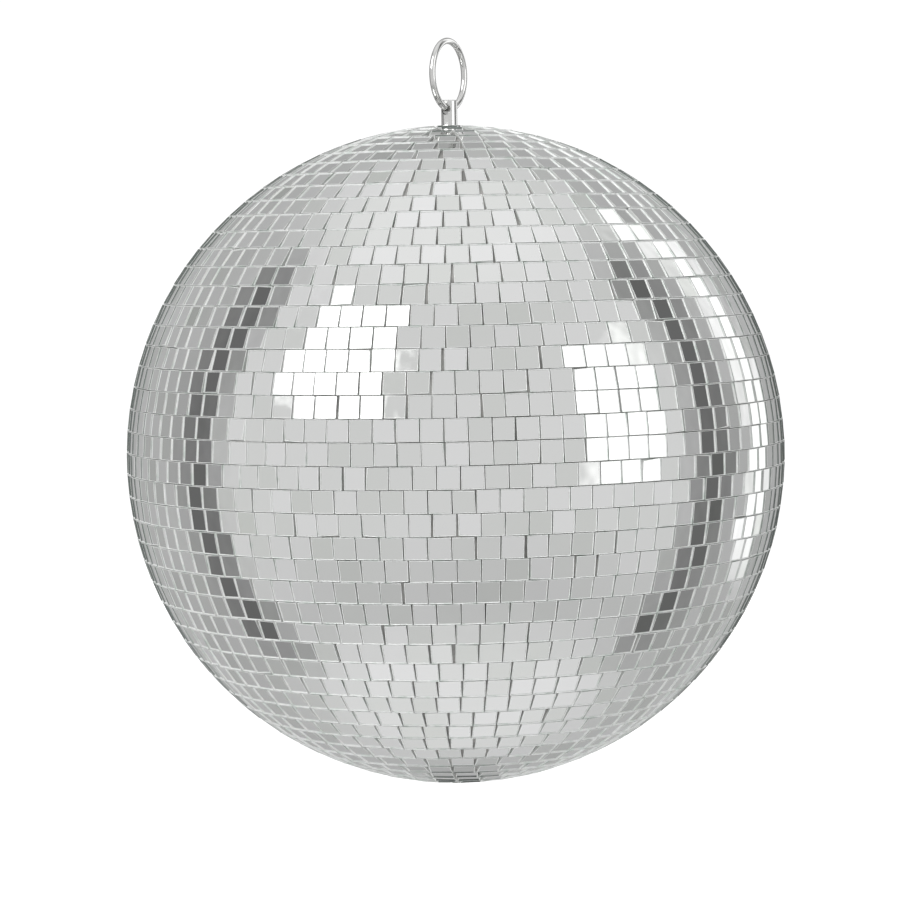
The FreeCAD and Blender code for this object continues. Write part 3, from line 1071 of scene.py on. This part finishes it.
@dataclass
class GlueBed:
    """The glue under the tiles: a thin, lumpy skin on the core that shows dark between them."""

    ball_middle: np.ndarray
    lump: float = 0.12 * MM
    lift: float = 0.3 * MM
    thick: float = 0.5 * MM
    waves: int = 14
    seed: int = 7
    rows: int = 150
    around: int = 288

    def lumps(self, direction: np.ndarray) -> np.ndarray:
        """Gives the lumps' height in every direction: a sum of sine waves that run all ways.

        Args:
            direction: Unit vectors from the ball's middle.

        Returns:
            Heights between about minus one and one.
        """
        chance = np.random.default_rng(self.seed)
        run = chance.normal(0.0, 1.0, (self.waves, 3))
        run *= chance.uniform(14.0, 55.0, (self.waves, 1)) / np.linalg.norm(run, axis=1, keepdims=True)
        phase = chance.uniform(0.0, 2 * math.pi, self.waves)
        return np.sin(direction @ run.T + phase).sum(axis=-1) / math.sqrt(self.waves)

    def build(self, paint: Paintbox) -> bpy.types.Object:
        """Makes and dresses the bed: a ball open at the stem's seat, whose radius swells with the lumps.

        Args:
            paint: The finishes.

        Returns:
            The bed.
        """
        low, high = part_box("glue_coat")
        radius = (high.x - low.x) / 2 + self.lift
        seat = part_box("seat_washer")[1].x + 0.5 * MM
        from_top = np.linspace(math.asin(seat / radius), math.pi, self.rows + 1)[:-1]
        turn = np.arange(self.around) / self.around * 2 * math.pi
        level = np.sin(from_top)[:, None]
        rise = np.cos(from_top)[:, None] + 0 * turn
        ring = np.stack([level * np.cos(turn), level * np.sin(turn), rise], axis=-1)
        directions = np.concatenate([ring.reshape(-1, 3), [[0.0, 0.0, -1.0]]])
        reach = radius + self.lump * np.clip(self.lumps(directions), -1.2, 1.2)
        points = self.ball_middle + directions * reach[:, None]
        bed = make_mesh("glue_bed", points, skin_round(self.rows, self.around, False, True), True)
        wall = bed.modifiers.new("skin_thickness", "SOLIDIFY")
        wall.thickness = self.thick
        wall.offset = -1.0
        bed.data.materials.append(paint.glue)
        finish_piece(bed, Body.BALL, Slot.TILE_GLUE, "glue_coat")
        return bed


@dataclass
class MirrorBall:
    """The ball: its tiles, the pole mirror, the glue bed and the fittings inside."""

    first_seed: int = 100

    def tile_nodes(self) -> list[str]:
        """Names the model's rows of tiles, in order."""
        return sorted(name for name in frame["nodes"] if name.startswith("tile_row"))

    def middle(self) -> np.ndarray:
        """Finds the ball's middle: the equator row's box is centred on it."""
        low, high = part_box("tile_row_equator")
        return np.array((low + high) / 2)

    def dress_fittings(self, paint: Paintbox) -> None:
        """Gives the model's own hidden solids their finishes.

        Args:
            paint: The finishes.
        """
        finishes = {
            "seat_washer": paint.zinc,
            "inner_plate": paint.zinc,
            "spring_washer": paint.zinc,
            "hex_nut": paint.zinc,
            "core_upper": paint.plastic,
            "core_lower": paint.plastic,
        }
        for name, material in finishes.items():
            for slot in frame["nodes"][name].material_slots:
                slot.material = material
            log.info("%s: dressed with %s", name, material.name)

    def build(self, paint: Paintbox) -> None:
        """Makes every row, the bed and the pole mirror, and dresses the fittings.

        Args:
            paint: The finishes.
        """
        middle = self.middle()
        for number, node in enumerate(self.tile_nodes()):
            TileRow(node, self.first_seed + number, middle).build(paint)
        PoleMirror().build(paint)
        GlueBed(middle).build(paint)
        self.dress_fittings(paint)


# ---------------------------------------------------------------- the studio


@dataclass(frozen=True)
class Panel:
    """A soft box, wall or flag in the studio. Bearing grows to the camera's right, in degrees."""

    bearing: float
    height: float
    width: float
    tall: float
    colour: Colour
    soft: float = 1.2


def grey(light: float) -> Colour:
    """Gives a neutral colour."""
    return (light, light, light)


@dataclass
class Studio:
    """Plain soft studio light, a pale floor far below, and the camera."""

    facing: float = -62.0
    looking_down: float = 3.8
    lean: float = 1.1
    away: float = 1.525
    lens: float = 130.9
    aim_left: float = 2.6 * MM
    aim_up: float = 1.9 * MM
    floor_drop: float = 1.3
    floor_size: float = 24.0
    floor_steps: int = 40
    floor_glow: float = 0.4
    top_light_wide: float = 1.6
    top_light_deep: float = 1.2
    top_light_watts: float = 8.0

    def soft_boxes(self) -> list[Panel]:
        """Lists a plain studio: bounce from above and below, a key, a fill, a rim strip and two flags."""
        return [
            Panel(0, 10, 200, 90, grey(0.70), 30),
            Panel(0, 85, 400, 60, grey(0.85), 25),
            Panel(0, -85, 400, 60, grey(0.78), 25),
            Panel(-100, 0, 20, 100, grey(0.14), 14),
            Panel(100, 0, 20, 100, grey(0.14), 14),
            Panel(130, 15, 16, 70, grey(1.3), 5),
            Panel(-45, 35, 45, 35, grey(4), 2),
            Panel(60, 15, 30, 45, grey(1.6), 2),
        ]

    def directions(self) -> tuple[Vector, Vector, Vector]:
        """Gives the camera's right, the level way towards it, and the way back to it from the ball."""
        turn = math.radians(self.facing)
        rise = math.radians(self.looking_down)
        right = Vector((math.cos(turn), math.sin(turn), 0.0))
        towards = Vector((math.sin(turn), -math.cos(turn), 0.0))
        back = towards * math.cos(rise) + Vector((0.0, 0.0, math.sin(rise)))
        return right, towards, back

    def mask(self, sheet: NodeSheet, where: Socket, panel: Panel) -> Socket:
        """Works out a panel's share in the light from each direction.

        On each of the two angles the share falls from 1 to 0 over the panel's soft border, and
        the two are multiplied.

        Args:
            sheet: The world's nodes.
            where: Bearing and height, in degrees.
            panel: The panel.

        Returns:
            The output with the share, from 0 to 1.
        """
        away = sheet.vector("ABSOLUTE", sheet.vector("SUBTRACT", where, (panel.bearing, panel.height, 0.0)))
        slope = -1.0 / panel.soft
        edge = (0.5 + panel.width / 2 / panel.soft, 0.5 + panel.tall / 2 / panel.soft, 1.0)
        ramp = sheet.vector("MULTIPLY_ADD", away, (slope, slope, 0.0), edge)
        inside = sheet.vector("MINIMUM", sheet.vector("MAXIMUM", ramp, (0.0, 0.0, 0.0)), (1.0, 1.0, 1.0))
        first, second, _ = sheet.split(inside)
        return sheet.math("MULTIPLY", first, second)

    def make_room(self) -> None:
        """Makes the world: pale walls and soft boxes. What the camera sees directly is plain white."""
        world = bpy.data.worlds.new("studio_room")
        world.use_nodes = True
        bpy.context.scene.world = world
        sheet = NodeSheet(world.node_tree)
        right, towards, _ = self.directions()
        direction = sheet.add("ShaderNodeTexCoord").outputs["Generated"]
        sideways = sheet.vector("DOT_PRODUCT", direction, tuple(right))
        forward = sheet.vector("DOT_PRODUCT", direction, tuple(towards))
        degrees = 180.0 / math.pi
        bearing = sheet.math("MULTIPLY", sheet.math("ARCTAN2", sideways, forward), degrees)
        height = sheet.math("MULTIPLY", sheet.math("ARCSINE", sheet.split(direction)[2]), degrees)
        where = sheet.join(bearing, height)
        drift = sheet.noise(direction, 2.2, 2.0)
        colour = sheet.blend(sheet.spread(drift, 0.3, 0.7, 0.0, 1.0), grey(0.42), grey(0.5))
        for box in self.soft_boxes():
            colour = sheet.blend(self.mask(sheet, where, box), colour, box.colour)
        camera_ray = sheet.add("ShaderNodeLightPath").outputs["Is Camera Ray"]
        background = sheet.add("ShaderNodeBackground")
        sheet.feed(background.inputs["Color"], sheet.blend(camera_ray, colour, grey(1.05)))
        output = sheet.add("ShaderNodeOutputWorld")
        sheet.feed(output.inputs["Surface"], background.outputs["Background"])

    def make_top_light(self, middle: Vector) -> None:
        """Hangs a wide soft light above the ball, on the camera's side.

        Args:
            middle: The ball's middle.
        """
        right, towards, _ = self.directions()
        data = bpy.data.lights.new("top_light", "AREA")
        data.shape = "RECTANGLE"
        data.size = self.top_light_wide
        data.size_y = self.top_light_deep
        data.energy = self.top_light_watts
        light = bpy.data.objects.new("top_light", data)
        bpy.context.scene.collection.objects.link(light)
        light.location = middle + towards * 0.8 - right * 0.35 + Vector((0.0, 0.0, 1.25))
        light.rotation_mode = "QUATERNION"
        light.rotation_quaternion = (middle - light.location).to_track_quat("-Z", "Y")
        light.visible_glossy = False

    def make_floor(self, lowest: float) -> None:
        """Lays a pale floor far below the ball, as a gently uneven sheet of backdrop paper.

        Args:
            lowest: Height of the ball's lowest point.
        """
        count = self.floor_steps
        line = count + 1
        steps = np.linspace(-0.5, 0.5, line) * self.floor_size
        across, along = np.meshgrid(steps, steps, indexing="ij")
        rise = 0.002 * np.sin(across * 1.3) * np.cos(along * 1.1)
        points = np.stack([across, along, lowest - self.floor_drop + rise], axis=-1).reshape(-1, 3)
        here = (np.arange(count)[:, None] * line + np.arange(count)).ravel()
        quads = np.stack([here, here + line, here + line + 1, here + 1], axis=-1)
        floor = make_mesh("paper_floor", points, [quads], True)
        paper = bpy.data.materials.new("pale_paper")
        paper.use_nodes = True
        sheet = NodeSheet(paper.node_tree)
        shader = sheet.add("ShaderNodeBsdfPrincipled")
        fibre = sheet.noise(sheet.place(), 40.0, 4.0)
        sheet.feed(shader.inputs["Base Color"], sheet.blend(fibre, grey(0.86), grey(0.9)))
        shader.inputs["Roughness"].default_value = 0.8
        shader.inputs["Emission Color"].default_value = (1.0, 1.0, 1.0, 1.0)
        shader.inputs["Emission Strength"].default_value = self.floor_glow
        output = sheet.add("ShaderNodeOutputMaterial")
        sheet.feed(output.inputs["Surface"], shader.outputs["BSDF"])
        floor.data.materials.append(paper)
        floor.visible_glossy = False
        floor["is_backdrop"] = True

    def make_camera(self, middle: Vector) -> None:
        """Sets up the camera at its distance, aimed just beside the ball's middle and leaning a little.

        Args:
            middle: The ball's middle.
        """
        right, _, back = self.directions()
        up = back.cross(right)
        data = bpy.data.cameras.new("studio_camera")
        data.lens = self.lens
        data.sensor_width = 36.0
        camera = bpy.data.objects.new("studio_camera", data)
        bpy.context.scene.collection.objects.link(camera)
        camera.location = middle + back * self.away
        aim = middle - right * self.aim_left + up * self.aim_up
        level = (aim - camera.location).to_track_quat("-Z", "Y")
        camera.rotation_mode = "QUATERNION"
        camera.rotation_quaternion = level @ Quaternion((0.0, 0.0, 1.0), -math.radians(self.lean))
        bpy.context.scene.camera = camera

    def build(self, middle: Vector, lowest: float) -> None:
        """Makes the room, the light, the floor and the camera.

        Args:
            middle: The ball's middle.
            lowest: Height of the ball's lowest point.
        """
        bpy.context.scene.view_settings.view_transform = "Standard"
        self.make_room()
        self.make_top_light(middle)
        self.make_floor(lowest)
        self.make_camera(middle)
        log.info("studio: room, top light, floor and camera")


# ---------------------------------------------------------------- making it all


def main() -> None:
    """Builds the ring, the stem, the ball and the studio."""
    logging.basicConfig(level=logging.INFO, format="%(message)s")
    model_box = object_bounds()
    paint = Paintbox()
    HangingRing().build(paint)
    HangerStem().build(paint)
    ball = MirrorBall()
    ball.build(paint)
    Studio().build(Vector(ball.middle()), model_box[0].z)


if __name__ == "__main__":
    main()
